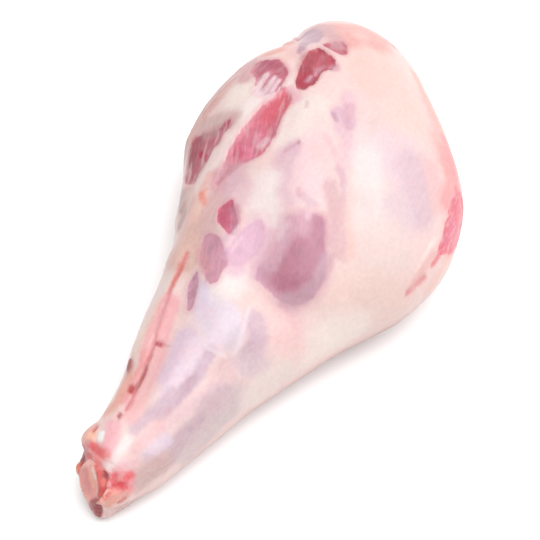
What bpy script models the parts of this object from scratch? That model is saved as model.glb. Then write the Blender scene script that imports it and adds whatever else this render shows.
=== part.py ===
"""Raw leg of lamb, bone in, lying on its outer side with the inner side up.

Run with: blender --background --python part.py
Metres, +Z up. The origin is under the middle of the leg, on the surface that it lies on.
+X runs along the leg to the rump, and the shank's sawn end is at -X.
"""

import math
from collections import namedtuple

import bmesh
import bpy
from mathutils import Matrix, Vector

MM = 0.001
GAP = 0.3 * MM  # clearance between the bone and the meat round it

# The leg's cross-sections from the shank's tip to the rump's tip, in millimetres: the place
# along X, the two sides in Y, the heights of the top and of the bottom, and the Y of the
# highest line. The skin closes on the first and the last. Where the bottom is below zero, the
# surface that the leg lies on has pressed it flat.
Section = namedtuple("Section", "x left right top bottom crest")
SECTIONS = (
    Section(-185, 27, 27, 18, 6, 27),
    Section(-182, 35, 20, 27, 2, 28),
    Section(-175, 43, 14, 36, 0, 29),
    Section(-166, 47, 8, 42, -0.5, 30),
    Section(-155, 49, 0, 45, -1, 28),
    Section(-140, 47, -6, 49, -1, 24),
    Section(-122, 47, -14, 54, -1, 19),
    Section(-100, 51, -23, 59, -0.5, 16),
    Section(-70, 56, -39, 66, -0.5, 10),
    Section(-40, 58, -56, 75, -1, 3),
    Section(-10, 67, -78, 83, -1.5, -3),
    Section(20, 77, -90, 89, -2, -5),
    Section(50, 90, -90, 92, -2, -3),
    Section(80, 90, -82, 92, -1.5, 3),
    Section(108, 83, -62.5, 89, 0, 9),
    Section(134, 65, -40.5, 82, 3, 12),
    Section(156, 66, -20, 70, 7, 18),
    Section(171, 58, 6, 57, 12, 26),
    Section(181, 49, 24, 42, 18, 34),
    Section(186, 35, 35, 32, 24, 35),
)
WIDEST = 0.42  # where the widest line is, as a share of the way from the bottom to the top
UPPER_POWER = 2.1  # superellipse powers of a cross-section above and below its widest line
LOWER_POWER = 2.2

# What stands out of or sinks into the upper skin: a soft ridge along a line in plan, in
# millimetres, with its half width and its height, which is below zero for a groove.
Ridge = namedtuple("Ridge", "x0 y0 x1 y1 width height")
MUSCLES = (
    Ridge(55, 13, 5, -7, 27, 3),  # inside round, under its silverskin
    Ridge(-12, -17, -32, -25, 16, 4),  # end of the inside round above the stifle
    Ridge(-28, 25, -46, 21, 13, 3),  # slender gracilis end beside it
    Ridge(-64, -3, -70, -1, 16, 2),  # stifle joint
    Ridge(-82, 3, -128, 21, 11, 2.5),  # shin muscle
    Ridge(-102, -15, -150, 5, 11, 3),  # heel muscle
    Ridge(54, 48, 12, 54, 8, 3),  # fat seam between the two open strips of lean
    Ridge(72, 67, 102, 57, 15, 3),  # flank lobe
    Ridge(110, 23, 94, 25, 13, -2),  # hollow where the hip bone came out
)
CREASES = (
    Ridge(114, 9, 76, -10, 11, -3.5),  # long crease between the inside round and the rump fat
    Ridge(76, -10, 18, -32, 11, -4),
    Ridge(18, -32, -20, -46, 11, -3),
    Ridge(-46, -39, -54, -19, 10, -3),  # below the end of the inside round
    Ridge(-14, -1, -48, 3, 9, -3),
    Ridge(70, 31, 14, 44, 9, -2.5),  # open strip of lean
    Ridge(40, 69, 7, 64, 8, -3),
    Ridge(-88, -11, -140, 11, 8, -2),  # between the shin and the heel muscles
    Ridge(-38, 37, -128, 26, 7, -2.5),  # beside the heel cord
)
HEEL_CORD = (
    Ridge(2, 53, -42, 47, 8, 3),
    Ridge(-42, 47, -100, 39, 8, 3),
    Ridge(-100, 39, -148, 37, 8, 2),
)
SIDE_FADE = 0.5  # ridges fade out where the skin's normal rises less than this

# The shank's end is sawn off slantwise, and its meat has shrunk back from the bone.
SAW_POINT = Vector((-178, 33, 29.5)) * MM  # centre of the bone's sawn face
SAW_NORMAL = Vector((-0.72, 0.47, 0.51)).normalized()
SHRUNK = 2 * MM  # from the bone's face back to the meat's
ROUNDED = 4 * MM  # how softly the meat turns into its cut face

# Knobs and hollows round the cut: centre, reach and height, in millimetres.
Knob = namedtuple("Knob", "x y z width height")
KNOBS = (
    Knob(-158, 46, 37, 7, 4.5),  # fat over the heel cord's end
    Knob(-165, 45, 33, 5, -3),  # hollow between that fat and the bone
    Knob(-172, 45, 26, 5, 4),  # torn tag beside the bone
    Knob(-162, 28, 44, 7, 2),  # torn edge above the bone
    Knob(-174, 13, 22, 8, 2.5),  # torn edge at the bone's other side
    Knob(-185, 25, 7, 6, 2),  # tendon ends under the bone
    Knob(-174, 19, 30, 5, -3),  # hollow beside the bone
)

# The bone from its sawn end inwards: the place along its axis and the radius, in millimetres.
BONE_STATIONS = (
    (-26, 10), (-14, 10.3), (-4, 10.3), (8, 9.6), (24, 8.4), (48, 7.2), (76, 7.2), (104, 8.2), (122, 9),
)
BONE_FLAT = 0.83  # the bone's height as a share of its width
BONE_AXIS = Vector((0.972, -0.235, 0.02)).normalized()
BONE_RIM = 0.7 * MM  # rounding of the sawn edge
SAW_SIZE = 80 * MM  # side of the block that takes the end off, larger than the bone

# How finely the surfaces are divided, along and round.

RINGS = 84
SEGMENTS = 48
TOP_SHARE = 0.25  # how much closer the segments lie over the top than on average
BONE_RINGS = 18
BONE_SEGMENTS = 24

# Base colour (linear), roughness, metallic.
FINISHES = {
    "lamb_meat": ((0.83, 0.58, 0.55), 0.4, 0.0),
    "cut_bone": ((0.78, 0.52, 0.44), 0.55, 0.0),
}


def along(values, t):
    """Catmull-Rom curve through evenly spaced values, at t from 0 to 1."""
    last = len(values) - 1
    place = min(max(t, 0.0), 1.0) * last
    i = min(int(place), last - 1)
    u = place - i
    p0, p1, p2, p3 = (values[min(max(k, 0), last)] for k in (i - 1, i, i + 1, i + 2))
    return 0.5 * (
        2 * p1
        + (p2 - p0) * u
        + (2 * p0 - 5 * p1 + 4 * p2 - p3) * u**2
        + (3 * p1 - p0 - 3 * p2 + p3) * u**3
    )


def soft_step(distance, softness):
    """How far a point lies past a plane, rounded off where it only just does."""
    return 0.5 * (distance + math.sqrt(distance**2 + softness**2))


def skin_point(t, angle):
    """The plain skin: t runs from the shank's tip to the rump's, angle from the left side over the top."""
    s = Section(*(along(column, t) * MM for column in zip(*SECTIONS)))
    across, up = math.cos(angle), math.sin(angle)
    power = UPPER_POWER if up > 0 else LOWER_POWER
    side = s.left if across > 0 else s.right
    widest = s.bottom + WIDEST * (s.top - s.bottom)
    height = s.top - widest if up > 0 else widest - s.bottom
    y = s.crest + (side - s.crest) * abs(across) ** (2 / power)
    z = widest + height * math.copysign(abs(up) ** (2 / power), up)
    past = (Vector((s.x, y, z)) - SAW_POINT).dot(SAW_NORMAL) + SHRUNK
    x = s.x - soft_step(past, ROUNDED) / SAW_NORMAL.x
    return Vector((x, y, max(z, 0.0)))


def bone_point(t, angle, clearance=0.0):
    """The bone, or with a clearance the socket round it: t runs from the shank's end inwards."""
    place, radius = (along(column, t) * MM for column in zip(*BONE_STATIONS))
    stations_from_end = min(t, 1 - t) * (len(BONE_STATIONS) - 1)
    closing = math.sqrt(1 - (1 - min(stations_from_end, 1.0)) ** 2)
    side = Vector((0, 0, 1)).cross(BONE_AXIS).normalized()
    up = BONE_AXIS.cross(side)
    offset = side * math.cos(angle) * (radius + clearance)
    offset += up * math.sin(angle) * (radius * BONE_FLAT + clearance)
    return SAW_POINT + BONE_AXIS * (place + clearance * (2 * t - 1)) + offset * closing


def socket_point(t, angle):
    return bone_point(t, angle, GAP)


def ridge_height(ridge, x, y):
    """Height of one ridge over the plan point x, y, in metres."""
    start, end = Vector((ridge.x0, ridge.y0)) * MM, Vector((ridge.x1, ridge.y1)) * MM
    run = end - start
    share = (Vector((x, y)) - start).dot(run) / run.length_squared
    nearest = start + run * min(max(share, 0.0), 1.0)
    distance = (Vector((x, y)) - nearest).length / (ridge.width * MM)
    return ridge.height * MM * math.exp(-(distance**2))


def knob_height(knob, point):
    distance = (point - Vector((knob.x, knob.y, knob.z)) * MM).length / (knob.width * MM)
    return knob.height * MM * math.exp(-(distance**2))


def relief(point, normal):
    """How far the skin stands out here, in metres."""
    fade = min(max(normal.z / SIDE_FADE, 0.0), 1.0)
    ridges = sum(ridge_height(r, point.x, point.y) for r in MUSCLES + CREASES + HEEL_CORD)
    return ridges * fade + sum(knob_height(k, point) for k in KNOBS)


def add_relief(bm):
    bm.normal_update()
    lifts = [v.normal * relief(v.co, v.normal) for v in bm.verts]
    for v, lift in zip(bm.verts, lifts):
        if v.co.z > 0:
            v.co += lift
            v.co.z = max(v.co.z, 0.0)


def lofted(name, collection, point_of, rings, segments, top_share=0.0, finish=None):
    """An object whose surface is a sphere's, each vertex moved to point_of(t, angle)."""
    bm = bmesh.new()
    bmesh.ops.create_uvsphere(bm, u_segments=segments, v_segments=rings, radius=1)
    for v in bm.verts:
        t = math.acos(max(-1.0, min(1.0, -v.co.z))) / math.pi
        angle = math.atan2(v.co.y, v.co.x)
        v.co = point_of(t, angle + top_share * math.cos(angle))
    if finish:
        finish(bm)
    obj = add_object(name, bm, collection)
    obj.data.shade_smooth()
    return obj


def add_object(name, bm, collection):
    mesh = bpy.data.meshes.new(name)
    bm.to_mesh(mesh)
    bm.free()
    obj = bpy.data.objects.new(name, mesh)
    collection.objects.link(obj)
    return obj


def add_collection(name):
    collection = bpy.data.collections.new(name)
    bpy.context.scene.collection.children.link(collection)
    return collection


def add_material(obj, name):
    colour, roughness, metallic = FINISHES[name]
    material = bpy.data.materials.new(name)
    material.use_nodes = True
    shader = material.node_tree.nodes["Principled BSDF"]
    shader.inputs["Base Color"].default_value = (*colour, 1)
    shader.inputs["Roughness"].default_value = roughness
    shader.inputs["Metallic"].default_value = metallic
    obj.data.materials.append(material)


def cut(obj, cutter):
    """Takes the cutter's shape out of the object, and hides the cutter."""
    cutter.hide_render = True
    cutter.display_type = "WIRE"
    modifier = obj.modifiers.new("cut_" + cutter.name, "BOOLEAN")
    modifier.operation = "DIFFERENCE"
    modifier.object = cutter


def make_saw(collection):
    """A block whose face is the slanting saw cut."""
    bm = bmesh.new()
    bmesh.ops.create_cube(bm, size=SAW_SIZE)
    saw = add_object("saw_cut", bm, collection)
    turn = SAW_NORMAL.to_track_quat("Z", "Y").to_matrix().to_4x4()
    saw.matrix_world = Matrix.Translation(SAW_POINT + SAW_NORMAL * SAW_SIZE / 2) @ turn
    return saw


def make_meat(parts, cutters):
    meat = lofted("leg_meat", parts, skin_point, RINGS, SEGMENTS, TOP_SHARE, add_relief)
    socket = lofted("bone_socket", cutters, socket_point, BONE_RINGS, BONE_SEGMENTS)
    cut(meat, socket)
    add_material(meat, "lamb_meat")


def make_bone(parts, cutters):
    bone = lofted("shank_bone", parts, bone_point, BONE_RINGS, BONE_SEGMENTS)
    cut(bone, make_saw(cutters))
    rim = bone.modifiers.new("rim", "BEVEL")
    rim.width = BONE_RIM
    rim.segments = 2
    rim.limit_method = "ANGLE"
    add_material(bone, "cut_bone")


def main():
    for obj in list(bpy.data.objects):
        bpy.data.objects.remove(obj)
    parts = add_collection("raw_leg_of_lamb")
    cutters = add_collection("cutters")
    make_meat(parts, cutters)
    make_bone(parts, cutters)


main()
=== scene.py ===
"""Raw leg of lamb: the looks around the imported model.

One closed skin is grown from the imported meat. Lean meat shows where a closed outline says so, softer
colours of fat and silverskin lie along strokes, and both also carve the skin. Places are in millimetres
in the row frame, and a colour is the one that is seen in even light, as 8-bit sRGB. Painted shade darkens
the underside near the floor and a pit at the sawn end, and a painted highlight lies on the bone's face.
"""
from collections import namedtuple
from math import radians

import bmesh
import bpy
import numpy as np
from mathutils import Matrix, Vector, noise
from mathutils.bvhtree import BVHTree


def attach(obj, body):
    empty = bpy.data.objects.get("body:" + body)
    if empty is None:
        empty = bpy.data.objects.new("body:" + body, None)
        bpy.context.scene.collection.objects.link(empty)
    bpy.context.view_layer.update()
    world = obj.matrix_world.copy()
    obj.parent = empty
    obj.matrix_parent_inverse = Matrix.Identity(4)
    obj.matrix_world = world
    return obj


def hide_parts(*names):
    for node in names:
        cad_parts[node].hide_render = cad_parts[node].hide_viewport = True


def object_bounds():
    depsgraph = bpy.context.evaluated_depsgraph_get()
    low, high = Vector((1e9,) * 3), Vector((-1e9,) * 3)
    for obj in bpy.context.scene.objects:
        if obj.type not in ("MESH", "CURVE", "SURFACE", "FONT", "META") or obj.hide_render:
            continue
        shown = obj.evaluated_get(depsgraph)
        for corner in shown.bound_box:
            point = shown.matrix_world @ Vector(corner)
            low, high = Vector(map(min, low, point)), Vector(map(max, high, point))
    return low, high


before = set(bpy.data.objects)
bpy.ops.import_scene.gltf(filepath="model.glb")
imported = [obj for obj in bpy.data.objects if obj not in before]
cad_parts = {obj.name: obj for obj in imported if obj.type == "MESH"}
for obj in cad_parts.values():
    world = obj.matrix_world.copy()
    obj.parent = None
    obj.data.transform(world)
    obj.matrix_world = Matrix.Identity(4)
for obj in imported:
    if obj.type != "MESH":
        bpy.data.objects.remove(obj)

CAD_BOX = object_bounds()
MM = 0.001

# ---- The skin's mesh ----
VOXEL = 1.55
FINE_ENDS = (-152, -166)  # nearer the sawn end than each of these, the skin is split once more
EASE_STEPS = 36        # smoothing that takes the solid's facets away
EASE_END = (-168, -138)  # it fades out between these places along the leg
PLUG_GROWTH = 1.0      # the closed bore's filling is this much fatter than the bone
PLUG_DEPTH = 3.2       # and ends this far behind the sawn face
SAW_POINT = Vector((-178, 33, 29.5))
SAW_NORMAL = Vector((-0.72, 0.47, 0.51)).normalized()

# ---- Shared tones ----
FAT = (252, 223, 219)
CREAM = (255, 241, 238)
PEACH = (250, 221, 212)
SALMON = (248, 198, 190)
TAN = (233, 190, 179)
ROSE = (252, 206, 209)
LILAC = (234, 212, 226)
MAUVE = (208, 180, 190)

# Lean meat inside a closed outline: its colour, how soft its edge is, how deep it lies, how much fat
# streaks it, the direction of its fibres, and the outline on the surface.
Lean = namedtuple("Lean", "colour edge sink marbling grain outline")
LEAN = {
    "rump_arch": Lean((206, 126, 142), 1.2, 0.8, 0.2, (0.9, -0.25, 0.3), (
        (93, 65, 80), (97, 60, 82), (97, 55, 83), (98, 51, 84), (96, 47, 86), (92, 43, 86), (87, 40, 87),
        (80, 39, 88), (74, 40, 88), (70, 42, 87), (67, 45, 87), (68, 50, 86), (70, 54, 85), (76, 56, 84),
        (82, 60, 82), (85, 64, 81))),
    "rump_eye": Lean((190, 94, 106), 0.9, 1.5, 0.08, (0.9, 0.4, 0), (
        (119, 33, 84), (117, 36, 83), (112, 38, 84), (105, 37, 86), (97, 36, 87), (91, 34, 87),
        (83, 33, 89), (79, 29, 89), (79, 25, 90), (83, 23, 90), (91, 22, 89), (98, 22, 88),
        (103, 18, 87), (108, 17, 86), (112, 20, 85), (115, 25, 84))),
    "rump_wedge": Lean((206, 118, 132), 1.0, 0.9, 0.2, (0.3, 0.9, 0), (
        (123, 33, 82), (128, 29, 81), (131, 24, 81), (128, 19, 82), (121, 16, 84), (119, 20, 84),
        (120, 27, 83))),
    "hip_cap": Lean((200, 160, 174), 2.6, 0.4, 0.1, (0.9, 0.2, 0), (
        (139, 55, 62), (147, 55, 61), (148, 48, 66), (139, 40, 74), (127, 37, 80), (122, 41, 80),
        (113, 40, 83), (107, 41, 85), (111, 45, 83), (122, 48, 77), (132, 52, 70))),
    "topside": Lean((226, 140, 156), 1.1, 0.9, 0.3, (0.95, 0.3, 0.1), (
        (77, 38, 88), (75, 32, 89), (71, 29, 90), (65, 28, 90), (58, 28, 91), (51, 27, 91), (44, 26, 91),
        (38, 26, 90), (32, 26, 89), (27, 27, 88), (23, 30, 86), (20, 34, 83), (15, 38, 80), (9, 42, 77),
        (3, 45, 75), (4, 47, 75), (13, 48, 76), (20, 49, 78), (27, 49, 80), (35, 48, 83), (42, 47, 85),
        (50, 45, 87), (60, 43, 87), (69, 40, 88))),
    "silverside": Lean((200, 126, 136), 1.3, 1.0, 0.45, (0.9, 0.3, 0.3), (
        (48, 58, 81), (42, 55, 81), (37, 57, 77), (31, 58, 75), (28, 61, 70), (22, 62, 67), (16, 64, 61),
        (10, 64, 57), (11, 69, 51), (17, 73, 49), (26, 75, 53), (35, 78, 56), (40, 77, 61), (42, 72, 66),
        (43, 66, 72), (45, 61, 78))),
    "window": Lean((213, 120, 141), 0.9, 0.9, 0.05, (0.9, 0.4, 0), (
        (-5, 31, 79), (-9, 28, 79), (-13, 25, 80), (-19, 21, 80), (-24, 19, 80), (-28, 20, 79),
        (-27, 23, 78), (-24, 28, 77), (-20, 33, 75), (-16, 35, 75), (-12, 36, 75), (-8, 34, 77))),
    "stifle_side": Lean((218, 164, 180), 1.2, 0.5, 0.1, (0.9, 0.3, 0.2), (
        (-30, 37, 71), (-28, 33, 74), (-30, 27, 76), (-34, 23, 77), (-39, 18, 76), (-43, 15, 75),
        (-48, 16, 73), (-54, 16, 72), (-57, 19, 70), (-55, 23, 70), (-50, 27, 70), (-43, 33, 68),
        (-35, 36, 69))),
    "stifle_veil": Lean((233, 190, 208), 2.4, 0.2, 0.0, (0.9, 0.4, 0), (
        (-38, 20, 76), (-33, 18, 78), (-25, 17, 80), (-19, 15, 81), (-13, 10, 82), (-16, 5, 81),
        (-23, 2, 79), (-29, 2, 77), (-35, 4, 75), (-40, 7, 74), (-43, 11, 74), (-43, 14, 74))),
    "round": Lean((216, 166, 184), 2.2, 0.4, 0.05, (0.95, 0.2, 0.1), (
        (-9, -4, 86), (-6, -8, 88), (-4, -12, 88), (-1, -16, 88), (0, -21, 88), (-1, -25, 86),
        (-9, -29, 84), (-15, -32, 80), (-21, -35, 76), (-29, -38, 71), (-38, -36, 67), (-46, -30, 65),
        (-49, -22, 67), (-48, -14, 70), (-46, -7, 72), (-44, -2, 73), (-38, -1, 75), (-31, -4, 77),
        (-22, -5, 81), (-14, -5, 85))),
    "knee_slip": Lean((213, 162, 180), 1.1, 0.5, 0.1, (1, -0.2, 0), (
        (-51, 31, 67), (-56, 27, 67), (-63, 25, 66), (-72, 23, 64), (-74, 25, 62), (-67, 29, 62),
        (-60, 32, 63), (-54, 32, 65))),
    "flank_graze": Lean((238, 128, 142), 1.2, 0.6, 0.3, (0.9, -0.3, 0), (
        (69, -78, 61), (75, -80, 54), (72, -82, 46), (64, -86, 40), (54, -89, 38), (44, -90, 41),
        (34, -89, 48), (27, -86, 57), (35, -85, 60), (45, -83, 62), (57, -80, 63))),
}

# A soft colour along a path: how strongly it covers, the half width it fills, how far it fades beyond
# that, how much it lifts (or cuts) the skin, and the path on the surface.
Stroke = namedtuple("Stroke", "colour strength core fade rise path")
CROWN = (
    ((252, 219, 223), 0.9, 9, 9, 0, ((34, 3, 93), (20, -6, 92), (12, 0, 91))),
    ((253, 236, 231), 0.9, 5, 5, 0, ((68, 15, 94), (59, 19, 93), (49, 18, 94), (42, 20, 92))),
    ((237, 199, 208), 0.85, 2, 2.5, 0, ((37, 11, 93), (34, 13, 92), (29, 15, 91), (23, 15, 90), (16, 14, 89))),
    ((233, 196, 208), 0.9, 2.5, 3, 0, ((33, 11, 92), (27, 12, 91), (21, 11, 91), (15, 9, 90))),
    ((236, 201, 210), 0.85, 2.5, 3, 0, ((11, 9, 89), (5, 5, 89), (1, 0, 89))),
    ((255, 239, 238), 0.95, 5, 5, 0, ((10, 17, 87), (2, 16, 86), (-5, 11, 85), (-12, 5, 83))),
    ((230, 190, 200), 0.85, 4, 4, 0, ((6, 34, 80), (0, 37, 78), (-6, 38, 76))),
    ((245, 208, 215), 0.8, 3, 4, 0, ((3, 28, 83), (-4, 27, 81))),
    ((244, 219, 222), 0.8, 2, 3, 0, ((-14, 14, 82), (-19, 12, 81))),
    ((228, 194, 205), 0.8, 0.9, 1.8, 0, ((8, -6, 90), (6, -10, 90), (5, -14, 90), (5, -18, 89))),
    ((234, 190, 200), 0.8, 0.6, 1.0, 0, ((11, -3, 91), (6, -6, 90))),
    ((240, 203, 213), 0.9, 2.5, 3, 0, ((87, 0, 87), (79, -2, 88), (69, -4, 91), (60, -7, 91))),
    ((238, 202, 211), 0.9, 2.5, 3, 0, ((62, -9, 90), (56, -13, 89), (48, -17, 89), (38, -20, 89))),
    ((232, 192, 207), 0.9, 2.5, 2.0, 0, ((71, 0, 91), (72, -3, 90), (69, -7, 89))),
    ((226, 180, 197), 0.9, 2, 2, 0, ((80, -4, 86), (74, -7, 87), (66, -10, 88))),
    ((206, 164, 182), 0.9, 1.0, 1.2, -0.2, ((68, 1, 92), (65, -2, 92))),
    ((253, 226, 227), 0.95, 2.0, 1.0, 0.2, (
        (92, -8, 87), (83, -12, 86), (75, -15, 86), (65, -19, 88), (56, -23, 89), (43, -28, 87))),
    ((252, 215, 214), 0.85, 4, 4, 0, ((30, -16, 89), (37, -11, 92), (41, -5, 93))),
    ((243, 203, 208), 0.85, 1.0, 1.5, -0.2, ((50, -2, 94), (46, -7, 93), (41, -13, 91), (36, -18, 89))),
    ((226, 188, 199), 0.9, 1.3, 1.6, -0.3, ((34, -18, 89), (30, -23, 87), (25, -26, 85), (21, -29, 82))),
    ((227, 188, 192), 0.9, 2.5, 3, -0.2, (
        (21, -18, 89), (15, -23, 86), (7, -28, 84), (-3, -34, 81), (-10, -38, 77))),
    ((231, 192, 195), 0.9, 2, 2.5, 0, ((17, -28, 83), (7, -33, 82), (-3, -38, 79), (-11, -41, 75))),
    ((249, 206, 197), 0.9, 1.2, 1.8, 0, (
        (38, -25, 87), (27, -30, 84), (16, -34, 81), (2, -40, 79), (-8, -45, 74))),
    ((255, 240, 238), 0.95, 4, 6, 0, ((50, -30, 88), (36, -35, 86), (25, -40, 83), (15, -45, 81))),
    ((254, 233, 234), 0.8, 4, 6, 0, ((84, -22, 88), (70, -22, 88), (62, -25, 88))),
    ((150, 106, 114), 0.6, 0.4, 0.8, -0.4, ((39, 10, 93),)),
    ((206, 160, 170), 0.6, 0.3, 0.9, -0.2, ((39, 10, 93), (34, 13, 92), (30, 15, 91))),
    ((214, 176, 182), 0.5, 0.3, 0.8, -0.2, ((70, 19, 93), (64, 17, 94))),
)
RIGHT_LOBE = (
    ((242, 218, 225), 0.9, 5, 7, 0, ((68, -39, 87), (62, -42, 87), (52, -48, 85))),
    ((228, 199, 209), 0.95, 6, 8, 0, ((59, -55, 82), (51, -60, 80), (43, -64, 77), (36, -66, 76))),
    ((233, 209, 215), 0.9, 4, 6, 0, ((30, -56, 81), (26, -59, 79), (22, -62, 77))),
    ((247, 205, 205), 0.8, 3, 4, 0, ((66, -63, 76), (56, -70, 73), (49, -75, 70))),
    ((243, 221, 217), 0.9, 7, 9, 0, ((9, -56, 76), (5, -63, 71), (-3, -62, 69))),
    ((246, 217, 208), 0.8, 8, 12, 0, ((-18, -60, 58), (-24, -56, 59), (-12, -70, 48))),
    ((255, 240, 232), 0.9, 6, 8, 0, ((-34, -57, 44), (-50, -46, 44), (-58, -42, 44))),
    ((255, 221, 213), 0.85, 12, 12, 0, ((119, -8, 84), (110, -24, 83), (98, -30, 85))),
    ((248, 194, 190), 0.9, 3, 5, 0, ((122, -38, 68), (108, -50, 69), (93, -58, 71), (80, -66, 70))),
    ((253, 178, 178), 0.9, 2.5, 3.5, 0, ((88, -63, 69), (78, -69, 68), (68, -75, 66), (56, -77, 66))),
    ((243, 160, 162), 0.9, 3, 3, 0, ((100, -60, 65), (89, -68, 63), (80, -74, 60), (72, -80, 55))),
    ((247, 190, 178), 0.9, 1.5, 3, 0, ((139, -22, 66), (130, -30, 68), (118, -42, 67), (106, -53, 66))),
    ((250, 112, 118), 0.95, 1.2, 1.6, 0, ((70, -78, 60), (64, -81, 58), (57, -83, 56))),
    ((236, 128, 134), 0.9, 0.8, 1.1, -0.6, ((29, -86, 56), (24, -86, 55), (18, -85, 54))),
    ((234, 150, 156), 0.9, 1.2, 1.4, -0.6, ((10, -84, 52), (4, -82, 52), (-2, -80, 50))),
    ((255, 240, 232), 0.9, 0.6, 0.9, 0.5, ((32, -81, 63), (22, -80, 62), (12, -80, 59), (-1, -78, 54))),
    ((246, 196, 192), 0.8, 1.5, 2, 0, ((22, -84, 59), (12, -82, 57), (2, -81, 54))),
    ((252, 210, 200), 0.8, 2, 3, 0, ((36, -89, 45), (24, -88, 44), (12, -86, 40))),
)
RUMP = (
    ((248, 188, 182), 0.95, 4, 6, 0, ((149, 32, 73), (157, 22, 69), (152, 8, 72), (142, 4, 78))),
    ((249, 186, 180), 0.9, 4, 6, 0, ((150, 38, 70), (140, 27, 78), (134, 20, 81))),
    ((230, 184, 186), 0.9, 2, 4, 0, ((150, 48, 64), (147, 41, 71), (138, 36, 76))),
    ((214, 140, 142), 0.8, 0.7, 1.8, -0.3, ((169, 24, 57), (163, 12, 62), (157, 3, 65), (151, -5, 67))),
    ((243, 178, 170), 0.95, 2, 3, 0, ((104, 62, 79), (112, 55, 80), (122, 55, 73), (130, 56, 66))),
    ((254, 216, 208), 0.9, 2, 3, 0, ((96, 50, 86), (106, 46, 85), (114, 48, 81))),
    ((226, 182, 194), 0.85, 0.9, 1.4, 0, ((61, 43, 87), (64, 42, 87), (66, 41, 87))),
    ((214, 160, 174), 0.85, 0.3, 0.9, -0.3, ((74, 55, 84), (69, 50, 85), (66, 45, 87))),
    ((160, 84, 72), 0.8, 0.7, 0.9, -0.5, ((138, 57, 61), (134, 54, 67))),
    ((238, 170, 146), 0.9, 1.4, 2, 0.3, ((56, 80, 66), (50, 80, 64), (44, 79, 61), (40, 79, 58))),
    ((196, 130, 126), 0.85, 0.5, 1.0, -0.3, ((83, 72, 76), (75, 75, 74), (67, 79, 69))),
    ((188, 112, 104), 0.9, 0.9, 1.2, 0.5, ((67, 78, 70), (61, 81, 67), (54, 83, 63))),
    ((200, 130, 116), 0.85, 0.8, 1.2, 0.3, ((51, 84, 60), (45, 84, 56), (40, 83, 52))),
    ((222, 176, 180), 0.9, 3, 4, 0, ((78, 72, 77), (88, 70, 76), (96, 69, 75))),
    ((206, 160, 154), 0.95, 3, 4, 0, ((34, 83, 46), (46, 84, 55), (58, 83, 61), (68, 79, 67))),
    ((196, 138, 136), 0.95, 1.2, 1.6, 0, ((66, 84, 61), (60, 86, 58), (51, 86, 55), (44, 86, 50))),
    ((210, 148, 150), 0.9, 1.5, 2, 0, ((98, 74, 68), (90, 76, 69), (84, 77, 68), (76, 80, 66))),
    ((226, 176, 170), 0.9, 2.5, 3.5, 0, ((42, 81, 56), (54, 80, 65), (64, 77, 71), (74, 75, 74))),
    ((255, 238, 231), 0.9, 5, 6, 0, ((54, 60, 82), (62, 60, 83), (72, 62, 82))),
    ((255, 242, 239), 0.95, 2.5, 3, 0, ((46, 52, 85), (58, 50, 86), (67, 48, 87), (80, 36, 89))),
    ((255, 236, 233), 0.9, 2, 2.5, 0, ((37, 51, 83), (28, 51, 80), (15, 51, 75), (9, 55, 73))),
    ((224, 188, 186), 0.9, 3, 4, 0, ((47, 57, 82), (47, 65, 76), (46, 72, 69), (43, 77, 63))),
)
KNEE = (
    ((190, 154, 152), 0.95, 3, 3.5, -0.5, ((4, 69, 47), (-4, 65, 52), (-11, 60, 57), (-18, 59, 55))),
    ((224, 184, 176), 0.9, 2.5, 3.5, 0, ((4, 64, 55), (-2, 60, 60), (-12, 54, 65))),
    ((230, 190, 178), 0.9, 5, 5, 0, ((-13, 44, 71), (-24, 44, 69), (-34, 43, 66), (-44, 41, 64))),
    ((228, 190, 190), 0.85, 3, 4, 0, ((-8, 41, 74), (-18, 39, 73), (-26, 36, 72))),
    ((234, 196, 186), 0.9, 3, 4, 0, ((-24, 54, 61), (-38, 51, 61), (-50, 49, 59))),
    ((243, 226, 220), 0.85, 2, 3, 0, ((-56, 48, 57), (-66, 47, 56), (-76, 48, 52))),
    ((250, 204, 196), 0.9, 2, 2.5, 0, ((8, 53, 73), (0, 53, 72), (-8, 52, 70), (-18, 50, 67))),
    ((249, 150, 134), 0.85, 1.0, 1.4, 0.4, ((-4, 52, 71), (-7, 50, 71))),
    ((246, 164, 150), 0.8, 0.6, 1.2, 0.2, ((-8, 48, 71), (-10, 47, 71))),
    ((245, 176, 164), 0.8, 0.5, 1.0, 0.2, ((0, 50, 73), (-3, 51, 72))),
    ((252, 214, 202), 0.85, 1.0, 1.6, 0.2, ((-11, 51, 70), (-15, 50, 69))),
    ((255, 241, 238), 0.9, 4, 5, 0, ((-50, 3, 71), (-57, 10, 71), (-64, 16, 69))),
    ((236, 199, 212), 0.9, 3, 3, 0, ((-20, 1, 80), (-27, -1, 78), (-34, -2, 76), (-40, -4, 74))),
    ((241, 205, 220), 0.9, 3, 3, 0, ((-31, 20, 78), (-33, 16, 78), (-38, 13, 76), (-43, 11, 74))),
    ((248, 203, 207), 0.9, 4, 6, 0, ((-54, -24, 62), (-60, -31, 54))),
    ((252, 217, 213), 0.8, 4, 5, 0, ((-56, -8, 69), (-60, -14, 66), (-64, -36, 46))),
)
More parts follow.
